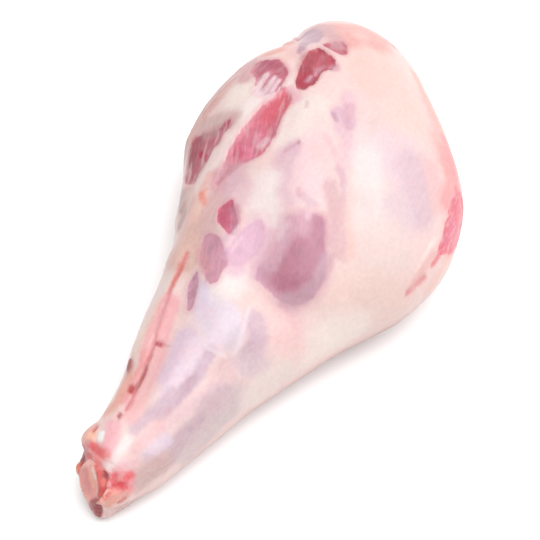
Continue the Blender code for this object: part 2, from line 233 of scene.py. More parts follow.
SHANK = (
    ((238, 221, 234), 0.95, 6, 6, 0, ((-74, 10, 67), (-79, 2, 66))),
    ((240, 226, 238), 0.9, 3, 3, 0, ((-69, 3, 69), (-72, -2, 67), (-78, -5, 65))),
    ((228, 211, 222), 0.85, 2, 3, 0, ((-78, -7, 64), (-83, -6, 61))),
    ((231, 205, 222), 0.95, 3.5, 4, 0, ((-90, 18, 62), (-98, 18, 61), (-107, 16, 60), (-114, 19, 58))),
    ((241, 219, 231), 0.9, 3, 3.5, 0, ((-92, 10, 63), (-101, 8, 61), (-114, 9, 57), (-124, 12, 54))),
    ((218, 190, 204), 0.95, 1.8, 2.2, -0.3, ((-92, 2, 61), (-99, 2, 59), (-106, 3, 56), (-114, 5, 54))),
    ((210, 176, 190), 0.95, 1.5, 2, -0.3, ((-110, 4, 55), (-117, 6, 53), (-125, 8, 51), (-136, 11, 49))),
    ((220, 192, 205), 0.9, 1.8, 2.2, -0.2, (
        (-121, 11, 54), (-128, 13, 52), (-134, 16, 50), (-140, 19, 48), (-146, 21, 47))),
    ((232, 198, 199), 0.9, 3, 3.5, 0, ((-92, -9, 56), (-100, -9, 52), (-98, -14, 50))),
    ((239, 205, 210), 0.9, 1.3, 2, 0.3, (
        (-104, -8, 52), (-114, -3, 51), (-121, 0, 50), (-130, 4, 48), (-140, 9, 47))),
    ((247, 204, 206), 0.9, 1.5, 3, 0.2, ((-138, 10, 47), (-145, 12, 45), (-154, 16, 44))),
    ((221, 192, 205), 0.95, 3.5, 3.5, 0, ((-66, -13, 65), (-71, -17, 61), (-78, -18, 56), (-84, -18, 52))),
    ((213, 182, 195), 0.9, 1.8, 2, 0, ((-78, -16, 58), (-85, -14, 54))),
    ((224, 200, 206), 0.9, 3, 4, 0, ((-85, -16, 53), (-85, -20, 50), (-82, -25, 48))),
    ((205, 179, 189), 0.95, 4, 4, 0, (
        (-106, -14, 47), (-114, -11, 46), (-122, -9, 44), (-130, -7, 41), (-138, -4, 39), (-146, -1, 36))),
    ((233, 212, 227), 0.9, 2, 2.5, 0, ((-143, 4, 43), (-148, 6, 42), (-154, 8, 41))),
    ((220, 200, 202), 0.9, 4, 5, 0, ((-99, -20, 43), (-109, -18, 38), (-122, -14, 34), (-138, -8, 28))),
    ((218, 184, 181), 0.9, 4, 4, 0, ((-153, 2, 34), (-160, 6, 33), (-166, 9, 28))),
    ((246, 228, 223), 0.9, 4, 6, 0, ((-76, -34, 38), (-86, -28, 38), (-94, -26, 34))),
    ((254, 220, 211), 0.9, 3, 4, 0, ((-78, 43, 56), (-90, 42, 55))),
    ((250, 224, 212), 0.9, 2.5, 2.5, 0, ((-84, 46, 52), (-94, 45, 52), (-103, 43, 52))),
    ((214, 174, 164), 0.9, 1.5, 2, 0, ((-112, 42, 48), (-119, 41, 47))),
    ((247, 182, 166), 0.95, 2.2, 2.5, 0, ((-120, 40, 47), (-127, 39, 47), (-135, 38, 47), (-141, 40, 43))),
    ((251, 192, 193), 0.9, 2, 2.5, 0, ((-70, 40, 58), (-83, 39, 57), (-94, 38, 56), (-104, 36, 54))),
    ((251, 190, 193), 0.9, 2.5, 3, 0, ((-72, 36, 59), (-86, 34, 57), (-96, 30, 56), (-103, 29, 55))),
    ((253, 198, 199), 0.9, 2.5, 3, 0, ((-106, 29, 54), (-113, 27, 54), (-125, 26, 52), (-140, 26, 49))),
    ((248, 176, 176), 0.9, 1.0, 1.5, 0, ((-104, 36, 53), (-112, 35, 52), (-120, 35, 51), (-134, 34, 49))),
    ((228, 138, 134), 0.95, 0.8, 1.1, -0.5, ((-40, 42, 64), (-49, 42, 62), (-58, 42, 60), (-68, 41, 58))),
    ((228, 158, 164), 0.9, 0.4, 0.9, -0.4, ((-63, 41, 59), (-77, 39, 57), (-88, 37, 56), (-97, 34, 56))),
    ((220, 136, 138), 0.9, 0.5, 0.9, -0.5, ((-93, 35, 56), (-104, 33, 54), (-111, 32, 52), (-121, 31, 51))),
    ((192, 104, 106), 0.9, 0.7, 0.9, -0.6, ((-110, 32, 52), (-119, 31, 51), (-128, 31, 50))),
    ((230, 136, 142), 0.9, 0.5, 0.9, -0.4, ((-125, 31, 50), (-133, 30, 50), (-139, 30, 49))),
    ((194, 78, 78), 0.95, 1.1, 0.9, -0.4, ((-125, 34, 50), (-127, 34, 50))),
    ((180, 84, 86), 0.95, 0.9, 0.8, -0.3, ((-142, 32, 49), (-144, 32, 48))),
    ((190, 88, 102), 0.95, 1.1, 0.9, -0.4, ((-97, 32, 56), (-97, 30, 56))),
    ((226, 170, 172), 0.8, 0.3, 0.7, 0, ((-97, 29, 56), (-97, 24, 58))),
    ((172, 92, 94), 0.95, 1.5, 1.0, 1.2, ((-110, 43, 48), (-112, 43, 48), (-114, 42, 48))),
    ((247, 230, 238), 0.8, 0.4, 0.9, 0.2, (
        (-60, -7, 69), (-67, -8, 67), (-74, -9, 64), (-81, -10, 60), (-88, -9, 57))),
    ((243, 228, 236), 0.7, 0.4, 0.8, 0.1, ((-90, 7, 63), (-91, 3, 62), (-90, -3, 60), (-90, -8, 57))),
    ((232, 214, 236), 0.8, 1.5, 2.5, 0, ((-59, 23, 68), (-66, 20, 67), (-70, 20, 66))),
)
SAWN_END = (
    ((255, 240, 237), 0.95, 1.3, 2.2, 0.4, ((-153, 22, 46), (-159, 23, 44), (-164, 24, 43), (-170, 26, 39))),
    ((252, 190, 198), 0.85, 2, 3, 0, ((-149, 33, 47), (-157, 30, 46), (-164, 29, 44))),
    ((252, 208, 214), 0.8, 2, 3, 0, ((-166, 18, 38), (-163, 14, 40))),
    ((246, 184, 176), 0.95, 2.5, 2.5, 1.0, ((-153, 45, 40), (-158, 46, 39), (-162, 44, 39))),
    ((255, 200, 176), 0.95, 1.5, 1.8, 0.4, ((-156, 42, 42), (-159, 42, 41))),
    ((226, 166, 170), 0.9, 0.9, 1.4, -0.2, ((-161, 41, 40), (-164, 42, 37))),
    ((255, 253, 250), 1.0, 1.0, 0.8, 0.3, ((-155, 37, 45), (-158, 36, 44))),
    ((206, 116, 112), 0.85, 0.5, 0.8, -0.8, ((-151, 42, 43), (-155, 42, 42))),
    ((248, 150, 148), 0.85, 1.5, 2.2, -0.2, ((-163, 36, 41), (-165, 33, 42), (-165, 30, 43))),
    ((244, 120, 122), 0.9, 1.2, 1.5, -0.4, ((-163, 38, 40), (-164, 36, 41), (-165, 33, 42))),
    ((230, 94, 98), 0.95, 1.1, 1.3, -0.4, ((-166, 40, 35), (-167, 37, 36))),
    ((252, 150, 150), 0.9, 1.2, 1.6, 0.2, ((-167, 35, 38), (-169, 33, 38), (-171, 32, 37))),
    # painted shade with real blood-red tissue: these six strokes darken the pit beside the knob and its sides
    ((146, 36, 44), 1.0, 2.4, 1.2, -0.8, ((-159, 48, 25), (-162, 46, 26), (-165, 45, 26), (-167, 43, 27))),
    ((188, 62, 54), 0.95, 1.2, 1.1, -0.6, ((-167, 44, 27), (-169, 44, 27), (-169, 42, 30))),
    ((160, 46, 52), 1.0, 1.5, 0.9, -0.4, ((-162, 48, 23), (-162, 46, 27), (-165, 45, 27))),
    ((200, 106, 102), 0.95, 1.0, 1.0, 0, ((-162, 45, 31), (-164, 43, 31), (-166, 42, 30))),
    ((214, 120, 116), 0.95, 1.2, 1.2, 0, ((-163, 44, 35), (-164, 43, 32), (-167, 41, 31))),
    ((238, 116, 116), 0.9, 1.0, 1.2, 0, ((-166, 40, 34), (-168, 38, 35))),
    ((240, 128, 100), 1.0, 1.2, 1.1, 0.8, ((-170, 46, 26), (-172, 45, 26), (-173, 44, 25))),
    ((238, 172, 158), 0.95, 1.2, 1.5, 0.4, ((-173, 43, 23), (-176, 42, 20), (-179, 39, 17))),
    ((250, 150, 148), 0.9, 1.0, 1.3, 0, ((-170, 31, 39), (-171, 29, 38), (-172, 27, 38))),
    ((205, 78, 74), 0.95, 1.1, 1.0, -1.2, ((-173, 26, 37), (-175, 24, 35), (-178, 23, 31))),
    ((150, 50, 58), 0.95, 0.7, 0.8, -0.8, ((-173, 24, 36), (-174, 23, 35))),
    ((214, 84, 92), 0.95, 0.9, 0.9, -1.0, ((-177, 22, 31), (-179, 22, 29), (-181, 24, 28))),
    ((252, 172, 176), 0.9, 3, 3, 0, ((-172, 22, 33), (-170, 17, 34), (-173, 14, 29))),
    ((246, 120, 126), 0.95, 1.1, 1.3, -0.4, ((-172, 21, 33), (-170, 21, 35))),
    ((252, 130, 134), 0.95, 1.3, 1.4, -0.3, ((-171, 16, 31), (-168, 15, 33), (-166, 14, 34))),
    ((242, 96, 104), 0.95, 1.3, 1.7, -0.5, ((-173, 19, 29), (-172, 17, 29), (-172, 15, 28))),
    ((252, 148, 148), 0.9, 1.2, 1.6, 0, ((-177, 21, 29), (-176, 18, 28), (-175, 17, 26), (-173, 14, 26))),
    ((254, 186, 172), 1.0, 1.3, 1.1, 0.7, ((-178, 22, 28), (-181, 23, 27), (-183, 25, 24))),
    ((248, 128, 130), 0.9, 0.7, 0.9, -0.3, ((-178, 20, 28), (-180, 20, 27), (-182, 21, 25))),
    ((244, 176, 162), 0.95, 1.5, 1.8, 0.4, ((-178, 18, 26), (-181, 19, 23), (-182, 20, 20))),
    ((226, 190, 176), 0.6, 1.3, 1.8, 0, ((-174, 13, 25), (-177, 14, 22))),
    ((220, 116, 114), 0.8, 0.4, 0.9, -0.4, ((-175, 12, 24), (-177, 14, 22), (-178, 16, 21))),
    ((238, 202, 198), 0.9, 2.5, 2.5, 0, ((-183, 19, 12), (-180, 17, 13), (-174, 12, 14))),
    ((160, 56, 64), 1.0, 3.2, 0.9, -0.3, ((-183, 27, 18), (-184, 27, 14), (-185, 27, 11))),
    ((196, 112, 108), 0.95, 1.2, 1.0, 0, ((-182, 33, 13), (-183, 32, 11), (-184, 30, 9))),
    ((130, 50, 56), 0.9, 0.8, 0.8, -0.6, ((-184, 27, 24), (-185, 29, 21))),
)
# Guessed: the same fat, silverskin and thin seams carried round the sides that face away.
FAR_SIDE = (
    ((247, 204, 196), 0.7, 8, 12, 0, ((180, 10, 30), (172, -20, 40), (160, -40, 45))),
    ((234, 212, 222), 0.8, 7, 10, 0, ((176, 30, 40), (168, 45, 35), (155, 60, 30))),
    ((255, 240, 234), 0.8, 4, 7, 0, ((176, 20, 52), (178, 0, 50), (170, -20, 50))),
    ((226, 160, 164), 0.8, 0.7, 1.6, -0.4, ((174, 34, 48), (182, 12, 40), (180, -10, 32), (172, -28, 22))),
    ((255, 244, 240), 0.8, 0.6, 1.2, 0.4, ((166, 46, 44), (178, 26, 34), (184, 4, 24), (180, -14, 16))),
    ((236, 206, 214), 0.8, 6, 9, 0, ((120, 78, 40), (95, 84, 40), (72, 88, 32))),
    ((250, 208, 198), 0.8, 6, 10, 0, ((60, 88, 26), (30, 82, 24), (5, 70, 20))),
    ((220, 146, 154), 0.8, 0.7, 1.5, -0.4, ((142, 64, 50), (118, 76, 46), (92, 84, 46), (68, 88, 40))),
    ((255, 243, 238), 0.8, 0.6, 1.2, 0.4, ((134, 70, 38), (104, 82, 32), (70, 90, 26), (36, 84, 18))),
    ((210, 132, 142), 0.8, 1.6, 2.4, -0.5, ((30, 82, 34), (18, 78, 32), (8, 74, 30))),
    ((236, 214, 226), 0.8, 4, 6, 0, ((-60, 52, 36), (-90, 50, 34), (-120, 46, 30))),
    ((248, 196, 190), 0.8, 3, 5, 0, ((-40, 58, 40), (-80, 54, 24), (-130, 44, 20))),
    ((222, 150, 156), 0.8, 0.5, 1.2, -0.3, ((-30, 60, 38), (-66, 54, 34), (-104, 48, 28), (-140, 42, 24))),
)
STROKES = [Stroke(*row) for row in CROWN + RIGHT_LOBE + RUMP + KNEE + SHANK + SAWN_END + FAR_SIDE]

# Places where the skin only swells, with no paint of their own.
SWELLS = [Stroke(FAT, 0, *row) for row in (
    (6, 7, 2.0, ((36, 82, 50), (20, 76, 46), (7, 71, 44), (-4, 67, 45))),
    (2, 3, 3.0, ((139, 60, 56), (132, 61, 60))),
)]

# The same on the bone: its sawn face and rim, a painted highlight on that face, and the red tissue on its
# wall.
BONE_STROKES = [Stroke(*row) for row in (
    ((240, 160, 154), 0.9, 1.2, 2.0, 0, (
        (-172, 38, 31), (-174, 33, 33), (-178, 30, 31), (-181, 30, 27), (-179, 35, 25), (-175, 38, 28),
        (-172, 38, 31))),
    ((230, 142, 138), 0.85, 1.0, 2.0, 0, ((-174, 36, 31), (-176, 35, 29), (-178, 32, 29))),
    ((255, 184, 160), 0.9, 0.8, 1.4, 0, ((-172, 36, 34), (-174, 34, 33), (-177, 32, 32), (-179, 30, 30))),
    # painted highlight: a near-white streak where the wet sawn face shines
    ((255, 226, 214), 0.95, 0.9, 1.2, 0, ((-172, 33, 36), (-174, 31, 36), (-176, 30, 35))),
    ((250, 184, 170), 0.9, 0.8, 1.2, 0, ((-177, 28, 35), (-180, 26, 32), (-182, 26, 29))),
    ((255, 196, 188), 0.9, 1.2, 1.5, 0, ((-170, 40, 32), (-170, 37, 35))),
    ((226, 104, 98), 0.95, 1.2, 1.1, 0, ((-171, 31, 39), (-174, 28, 37), (-177, 25, 36), (-179, 24, 33))),
    ((206, 72, 72), 0.95, 1.8, 1.2, 0, ((-173, 27, 37), (-175, 24, 35), (-178, 23, 33), (-181, 23, 30))),
    ((150, 50, 58), 0.95, 0.5, 0.8, 0, ((-172, 25, 37), (-174, 24, 36))),
    ((232, 128, 118), 0.9, 0.8, 1.0, 0, ((-175, 25, 35), (-177, 24, 34))),
    ((176, 82, 80), 0.95, 0.9, 1.0, 0, ((-183, 24, 28), (-185, 26, 26), (-185, 29, 23))),
)]

# The same over fat and lean alike: membranes, and tones within the lean.
GLAZES = [Stroke(*row) for row in (
    ((224, 172, 176), 0.85, 3, 3, 0, ((92, 68, 77), (86, 68, 78), (80, 66, 81))),
    ((248, 222, 226), 0.9, 0.9, 1.2, 0.4, ((86, 52, 85), (78, 53, 85), (72, 53, 85))),
    ((248, 220, 226), 0.9, 0.9, 1.1, 0.4, ((85, 47, 86), (76, 47, 86), (69, 47, 86))),
    ((246, 214, 221), 0.9, 0.8, 1.0, 0.4, ((83, 43, 86), (76, 43, 86), (71, 43, 87))),
    ((250, 226, 231), 0.9, 1.2, 1.8, 0.1, ((71, 53, 84), (68, 49, 86), (67, 45, 87), (69, 42, 87))),
    ((192, 112, 128), 0.8, 1.6, 2, 0, ((92, 57, 83), (93, 51, 85), (90, 45, 87))),
    ((180, 96, 106), 0.8, 2, 3, 0, ((108, 35, 85), (98, 33, 87))),
    ((186, 82, 96), 0.7, 1.5, 2, 0, ((92, 31, 88), (85, 30, 89))),
    ((206, 126, 134), 0.6, 1.2, 2, 0, ((114, 28, 84), (108, 27, 85), (100, 27, 87))),
    ((228, 180, 193), 0.85, 0.7, 1.1, 0.3, ((93, 27, 87), (87, 27, 88))),
    ((222, 170, 184), 0.8, 0.6, 1.0, 0.2, ((101, 26, 86), (94, 25, 87))),
    ((214, 156, 170), 0.8, 0.5, 0.9, 0.2, ((106, 24, 85), (100, 24, 86))),
    ((216, 162, 176), 0.8, 1.6, 2, 0, ((107, 18, 86), (105, 17, 86))),
    ((222, 176, 180), 0.8, 2, 3, 0, ((134, 30, 79), (126, 24, 82))),
    ((223, 118, 130), 0.85, 3, 4, 0, ((70, 32, 89), (62, 34, 88), (54, 36, 87))),
    ((221, 124, 142), 0.8, 1.5, 3, 0, ((46, 32, 90), (40, 33, 89))),
    ((240, 150, 172), 0.85, 1.6, 2, 0, ((28, 41, 82), (26, 36, 83), (24, 34, 84))),
    ((220, 120, 142), 0.8, 1.5, 2, 0, ((27, 45, 80), (25, 42, 81))),
    ((246, 200, 211), 0.85, 1.3, 1.6, 0.2, ((36, 30, 88), (32, 32, 87))),
    ((244, 172, 190), 0.7, 1.0, 1.3, 0.2, ((39, 36, 87), (35, 37, 86))),
    ((217, 164, 174), 0.85, 3, 4, 0, ((15, 43, 77), (9, 45, 76), (4, 45, 76))),
    ((236, 196, 206), 0.7, 2, 3, 0, ((16, 36, 82), (10, 38, 80))),
    ((203, 108, 126), 0.9, 1.5, 2, 0, ((44, 58, 79), (41, 60, 75), (37, 62, 72), (34, 64, 69))),
    ((205, 150, 154), 0.85, 1.5, 2, 0, ((43, 66, 71), (41, 70, 67), (40, 73, 64))),
    ((174, 106, 116), 0.85, 1.5, 2.5, 0, ((37, 75, 60), (32, 75, 57), (24, 73, 54))),
    ((224, 178, 180), 0.8, 0.8, 1.6, 0.2, ((22, 61, 68), (17, 62, 66), (11, 63, 60))),
    ((190, 70, 94), 0.95, 0.9, 1.0, 0, ((30, 70, 61), (28, 69, 60))),
    ((196, 78, 104), 0.95, 1.0, 1.1, 0, ((27, 66, 63), (25, 64, 64))),
    ((222, 192, 188), 0.4, 2.5, 3, 0, ((44, 73, 66), (45, 69, 69))),
    ((213, 150, 168), 0.85, 1.2, 2.5, 0, ((-11, 27, 80), (-17, 23, 80), (-24, 21, 80))),
    ((224, 164, 172), 0.8, 1.5, 2, 0, ((-39, 34, 69), (-45, 30, 70), (-50, 26, 71))),
    ((248, 216, 226), 0.85, 0.7, 1.0, 0.4, ((-20, 19, 80), (-28, 20, 79), (-36, 21, 77))),
    ((247, 212, 224), 0.8, 0.5, 0.9, 0.3, ((-26, 14, 80), (-32, 16, 78), (-38, 17, 77))),
    ((192, 128, 146), 0.9, 4, 5, 0, (
        (-21, -20, 83), (-29, -16, 79), (-36, -15, 76), (-40, -19, 75), (-33, -23, 77), (-26, -23, 81))),
    ((188, 130, 148), 0.8, 2, 4, 0, ((-24, -25, 81), (-32, -28, 76))),
    ((195, 137, 156), 0.95, 3, 3.5, 0, ((-4, -22, 87), (-9, -25, 85), (-15, -27, 82), (-22, -28, 80))),
    ((206, 168, 180), 0.85, 2, 3, 0, (
        (-20, -35, 77), (-29, -35, 73), (-37, -33, 71), (-43, -29, 67), (-47, -23, 67))),
    ((228, 184, 198), 0.85, 3, 3.5, 0, ((-10, -8, 87), (-18, -8, 83), (-26, -7, 79), (-34, -7, 76))),
    ((224, 176, 190), 0.7, 2, 3, 0, ((-5, -13, 88), (-12, -16, 87))),
    ((246, 214, 224), 0.7, 1.0, 2.0, 0.2, ((-12, -5, 85), (-19, -5, 82))),
    ((240, 204, 214), 0.8, 0.8, 1.2, 0.3, ((-1, -15, 89), (-5, -16, 88))),
    ((236, 138, 158), 0.7, 2.5, 3, 0, ((50, -86, 55), (38, -87, 54))),
    ((246, 200, 208), 0.85, 1.4, 1.8, 0, ((77, 33, 89), (74, 29, 90), (70, 26, 91))),
)]


# ---- Numbers on a mesh ----
def points_of(mesh):
    flat = np.empty(len(mesh.vertices) * 3)
    mesh.vertices.foreach_get("co", flat)
    return flat.reshape(-1, 3) / MM


def place_points(mesh, points):
    mesh.vertices.foreach_set("co", (points * MM).ravel())
    mesh.update()


def normals_of(mesh):
    flat = np.empty(len(mesh.vertices) * 3)
    mesh.vertices.foreach_get("normal", flat)
    return flat.reshape(-1, 3)


def paint(mesh, name, values):
    """Stores one number, vector or colour for each vertex."""
    kind, field = {1: ("FLOAT", "value"), 3: ("FLOAT_VECTOR", "vector")}[
        1 if values.ndim == 1 else 3]
    layer = mesh.attributes.new(name, kind, "POINT")
    layer.data.foreach_set(field, np.ascontiguousarray(values, np.float32).ravel())


def linear(colour):
    """An 8-bit sRGB colour as linear light."""
    share = np.asarray(colour, float) / 255
    return np.where(share <= 0.04045, share / 12.92, ((share + 0.055) / 1.055) ** 2.4)


def smooth(low, high, value):
    share = np.clip((value - low) / (high - low), 0, 1)
    return share * share * (3 - 2 * share)


def lumps(points, wavelength, seed):
    """Noise from -1 to 1 at each point."""
    shifted = points / wavelength + seed * 17.3
    return np.array([noise.noise(place) for place in shifted.tolist()])


def through(path, closed=False, steps=6):
    """A smooth curve through the given places, as many short runs (Catmull-Rom)."""
    path = np.array(path, float)
    if len(path) == 1:
        return np.vstack([path, path])
    ends = (path[-1:], path[:2]) if closed else (path[:1], path[-1:])
    held = np.vstack([ends[0], path, ends[1]])
    shares = np.linspace(0, 1, steps, endpoint=False)[:, None]
    runs = []
    for a, b, c, d in zip(held, held[1:], held[2:], held[3:]):
        bend = 2 * b + (c - a) * shares + (2 * a - 5 * b + 4 * c - d) * shares ** 2
        runs.append((bend + (3 * b - a - 3 * c + d) * shares ** 3) / 2)
    return np.vstack(runs + [held[-2:-1]])


def distance_to(points, curve, slim=None):
    """How far each point is from a curve of short straight runs, plus what the curve is slimmed by there."""
    slim = np.zeros(len(curve)) if slim is None else slim
    nearest = np.full(len(points), np.inf)
    for start, end, first, last in zip(curve, curve[1:], slim, slim[1:]):
        run = end - start
        share = np.clip((points - start) @ run / max(run @ run, 1e-9), 0, 1)
        gap = np.linalg.norm(points - start - share[:, None] * run, axis=1)
        nearest = np.minimum(nearest, gap + first + share * (last - first))
    return nearest


def facing(curve):
    """The direction that a closed curve faces, by Newell's sum."""
    total = np.cross(curve[:-1], curve[1:]).sum(axis=0)
    return total / np.linalg.norm(total)


def inside(points, curve, normal):
    """Whether each point is within a closed curve, seen along the normal."""
    side = np.cross(normal, (0.0, 0.6, 0.8))
    side /= np.linalg.norm(side)
    plane = np.array([side, np.cross(normal, side)]).T
    x, y = (points @ plane).T
    within = np.zeros(len(points), bool)
    flat = curve @ plane
    for (x0, y0), (x1, y1) in zip(flat, flat[1:]):
        if y0 == y1:
            continue
        spans = (y0 > y) != (y1 > y)
        within ^= spans & (x < (x1 - x0) * (y - y0) / (y1 - y0) + x0)
    return within


# ---- The skin ----
def new_piece(name, mesh):
    piece = bpy.data.objects.new(name, mesh)
    bpy.context.scene.collection.objects.link(piece)
    return piece


def apply_modifiers(piece):
    evaluated = piece.evaluated_get(bpy.context.evaluated_depsgraph_get())
    baked = bpy.data.meshes.new_from_object(evaluated)
    piece.modifiers.clear()
    piece.data = baked
    return baked


def close_bore(meat, bone):
    """The meat's mesh with its bore filled by a slightly fat bone that stops behind the sawn face."""
    shell = bmesh.new()
    shell.from_mesh(bone)
    shell.normal_update()
    grown = [(vert, vert.normal * PLUG_GROWTH * MM) for vert in shell.verts]
    for vert, step in grown:
        vert.co += step - SAW_NORMAL * PLUG_DEPTH * MM
    shell.from_mesh(meat)
    joined = bpy.data.meshes.new("leg")
    shell.to_mesh(joined)
    shell.free()
    return joined


def refine_end(mesh, end):
    """Splits the faces that are nearer the sawn end than this."""
    split = bmesh.new()
    split.from_mesh(mesh)
    edges = [edge for edge in split.edges if all(v.co.x < end * MM for v in edge.verts)]
    bmesh.ops.subdivide_edges(split, edges=edges, cuts=1, use_grid_fill=True)
    split.to_mesh(mesh)
    split.free()


def make_leg(meat, bone):
    leg = new_piece("leg", close_bore(meat, bone))
    remesh = leg.modifiers.new("one closed skin", "REMESH")
    remesh.mode = "VOXEL"
    remesh.voxel_size = VOXEL * MM
    apply_modifiers(leg)
    group = leg.vertex_groups.new(name="eased")
    share = smooth(*EASE_END, points_of(leg.data)[:, 0])
    for index, weight in enumerate(share.tolist()):
        group.add([index], 0.12 + 0.88 * weight, "REPLACE")
    ease = leg.modifiers.new("eased facets", "SMOOTH")
    ease.factor = 0.5
    ease.iterations = EASE_STEPS
    ease.vertex_group = group.name
    mesh = apply_modifiers(leg)
    for end in FINE_ENDS:
        refine_end(mesh, end)
    mesh.shade_smooth()
    return leg


def surface_tree(mesh):
    return BVHTree.FromPolygons(
        [v.co for v in mesh.vertices], [tuple(face.vertices) for face in mesh.polygons])


def on_surface(tree, curve):
    """The curve's places moved to the nearest ones on the skin."""
    return np.array([tree.find_nearest(Vector(place) * MM)[0] for place in curve]) / MM


def near(points, curve, reach):
    low, high = curve.min(axis=0) - reach, curve.max(axis=0) + reach
    return np.flatnonzero(((points > low) & (points < high)).all(axis=1))


LEAN_REACH = 14      # an outline has no effect further away than this
RAGGED = ((6.0, 0.9), (2.6, 0.45))   # wavelength and depth of the waver along a lean edge
GRAIN_SQUEEZE = 0.88  # how much shorter the places are made along the fibres
FINGERS = 1.1         # how far a lean edge is torn along its fibres
TORN_SIZE = (40, 110)  # and an outline is torn more the longer it is, between these lengths
THIN = 1.0            # a stroke with a smaller core than this is drawn out to a point at each end
TORN_END = (-158, -170)  # the skin grows rough between these places along the leg
UNDER_SHADE_TURN = (0.06, -0.5)      # painted shade: the skin darkens as it turns down between these
UNDER_SHADE_HEIGHT = (46, 34)  # and only below these heights, standing in for the contact shadow near the floor
# the colour that this painted underside shade multiplies the fat by
UNDER_SHADE_TONE = (208, 184, 180)


def lay_lean(points, tree):
    """Per vertex: the edge value (over 0 is lean), how crisp that edge is, the lean colour, marbling,
    grain places and relief."""
    count = len(points)
    edge = np.full(count, -6.0)
    crisp = np.ones(count)
    colour = np.tile(linear(FAT), (count, 1))
    marbling = np.zeros(count)
    grain = points.copy()
    relief = np.zeros(count)
    waver = sum(depth * lumps(points, length, 3) for length, depth in RAGGED)
    for patch in LEAN.values():
        curve = on_surface(tree, through(patch.outline, closed=True))
        some = near(points, curve, LEAN_REACH)
        here = points[some]
        along = np.array(patch.grain) / np.linalg.norm(patch.grain)
        squeezed = here - GRAIN_SQUEEZE * np.outer(here @ along, along)
        gap = distance_to(here, curve)
        around = np.linalg.norm(np.diff(curve, axis=0), axis=1).sum()
        tear = smooth(*TORN_SIZE, around)
        signed = np.where(inside(here, curve, facing(curve)), gap, -gap) + tear * waver[some]
        signed += tear * FINGERS * lumps(squeezed, 1.8, 12)
        value = np.clip(signed / patch.edge, -6, 6)
        over = edge[some] > 0
        share = np.where(over, smooth(-1, 1, value), value > edge[some])[:, None]
        colour[some] += share * (linear(patch.colour) - colour[some])
        marbling[some] += share[:, 0] * (patch.marbling - marbling[some])
        grain[some] += share * (squeezed - grain[some])
        crisp[some] += (value > edge[some]) * (1 / max(patch.edge, 1.0) - crisp[some])
        edge[some] = np.maximum(edge[some], value)
        relief[some] -= patch.sink * smooth(-1.0 * patch.edge, 2.4 * patch.edge, signed)
        relief[some] += 0.25 * patch.sink / patch.edge * np.exp(-((signed + 1.6) / 1.3) ** 2)
    return edge, crisp, colour, marbling, grain, relief


def lay_strokes(points, tree, strokes, colours):
    """Paints the strokes into each of the colours, and returns the relief that they add."""
    relief = np.zeros(len(points))
    waver, fine = lumps(points, 9.0, 8), lumps(points, 3.0, 9)
    for stroke in strokes:
        curve = on_surface(tree, through(stroke.path))
        some = near(points, curve, stroke.core + 2.5 * stroke.fade)
        slim = np.zeros(len(curve))
        if stroke.core < THIN and len(stroke.path) > 1:
            slim = (stroke.core + stroke.fade) * np.abs(np.linspace(-1, 1, len(curve))) ** 6
        gap = distance_to(points[some], curve, slim)
        gap += 0.35 * stroke.core * waver[some] + 0.4 * min(stroke.fade, 2.0) * fine[some]
        share = np.exp(-(np.maximum(gap - stroke.core, 0) / stroke.fade) ** 2)
        for colour in colours:
            colour[some] += (stroke.strength * share)[:, None] * (linear(stroke.colour) - colour[some])
        relief[some] += stroke.rise * share
    return relief


def dress_leg(leg):
    mesh = leg.data
    points = points_of(mesh)
    tree = surface_tree(mesh)
    edge, crisp, lean_colour, marbling, grain, relief = lay_lean(points, tree)
    colour = np.tile(linear(FAT), (len(points), 1))
    relief += lay_strokes(points, tree, STROKES, [colour])
    relief += lay_strokes(points, tree, SWELLS, [])
    relief += lay_strokes(points, tree, GLAZES, [colour, lean_colour])
    # painted shade: skin that turns down near the floor is darkened, standing in for its contact shadow
    under = smooth(*UNDER_SHADE_TURN, normals_of(mesh)[:, 2]) * smooth(*UNDER_SHADE_HEIGHT, points[:, 2])
    colour *= 1 - under[:, None] * (1 - linear(UNDER_SHADE_TONE))
    torn = smooth(*TORN_END, points[:, 0])
    relief += 0.45 * lumps(points, 22.0, 1) + 0.22 * lumps(points, 8.0, 2) + 0.09 * lumps(points, 3.2, 4)
    relief += torn * (0.45 * lumps(points, 3.0, 6) + 0.25 * lumps(points, 1.4, 7))
    moved = points + normals_of(mesh) * relief[:, None]
    low, high = np.array(CAD_BOX[0]) / MM, np.array(CAD_BOX[1]) / MM
    place_points(mesh, np.clip(moved, low, high))
    paint(mesh, "fat_colour", colour)
    paint(mesh, "lean_colour", lean_colour)
    paint(mesh, "lean_edge", edge)
    paint(mesh, "crisp", crisp)
    paint(mesh, "marbling", marbling)
    paint(mesh, "grain", grain)


# ---- Materials ----
ALBEDO = 0.6    # the light that the palest fat returns, so that it is seen as its colour
RICHNESS = 1.1  # how much stronger the skin's hues are than its mixed tones


def add_node(tree, kind, inputs=None, **settings):
    """A new node. An input is a plain value or another node's output socket."""
    made = tree.nodes.new(kind)
    for name, value in settings.items():
        setattr(made, name, value)
    for name, value in (inputs or {}).items():
        if isinstance(value, bpy.types.NodeSocket):
            tree.links.new(value, made.inputs[name])
        else:
            made.inputs[name].default_value = value
    return made


def new_material(name):
    material = bpy.data.materials.new(name)
    material.use_nodes = True
    material.node_tree.nodes.clear()
    return material


def finish_material(material, inputs):
    tree = material.node_tree
    shader = add_node(tree, "ShaderNodeBsdfPrincipled", inputs)
    output = add_node(tree, "ShaderNodeOutputMaterial")
    tree.links.new(shader.outputs["BSDF"], output.inputs["Surface"])
    return material


def attribute(tree, name, output="Vector"):
    return add_node(tree, "ShaderNodeAttribute", attribute_name=name).outputs[output]


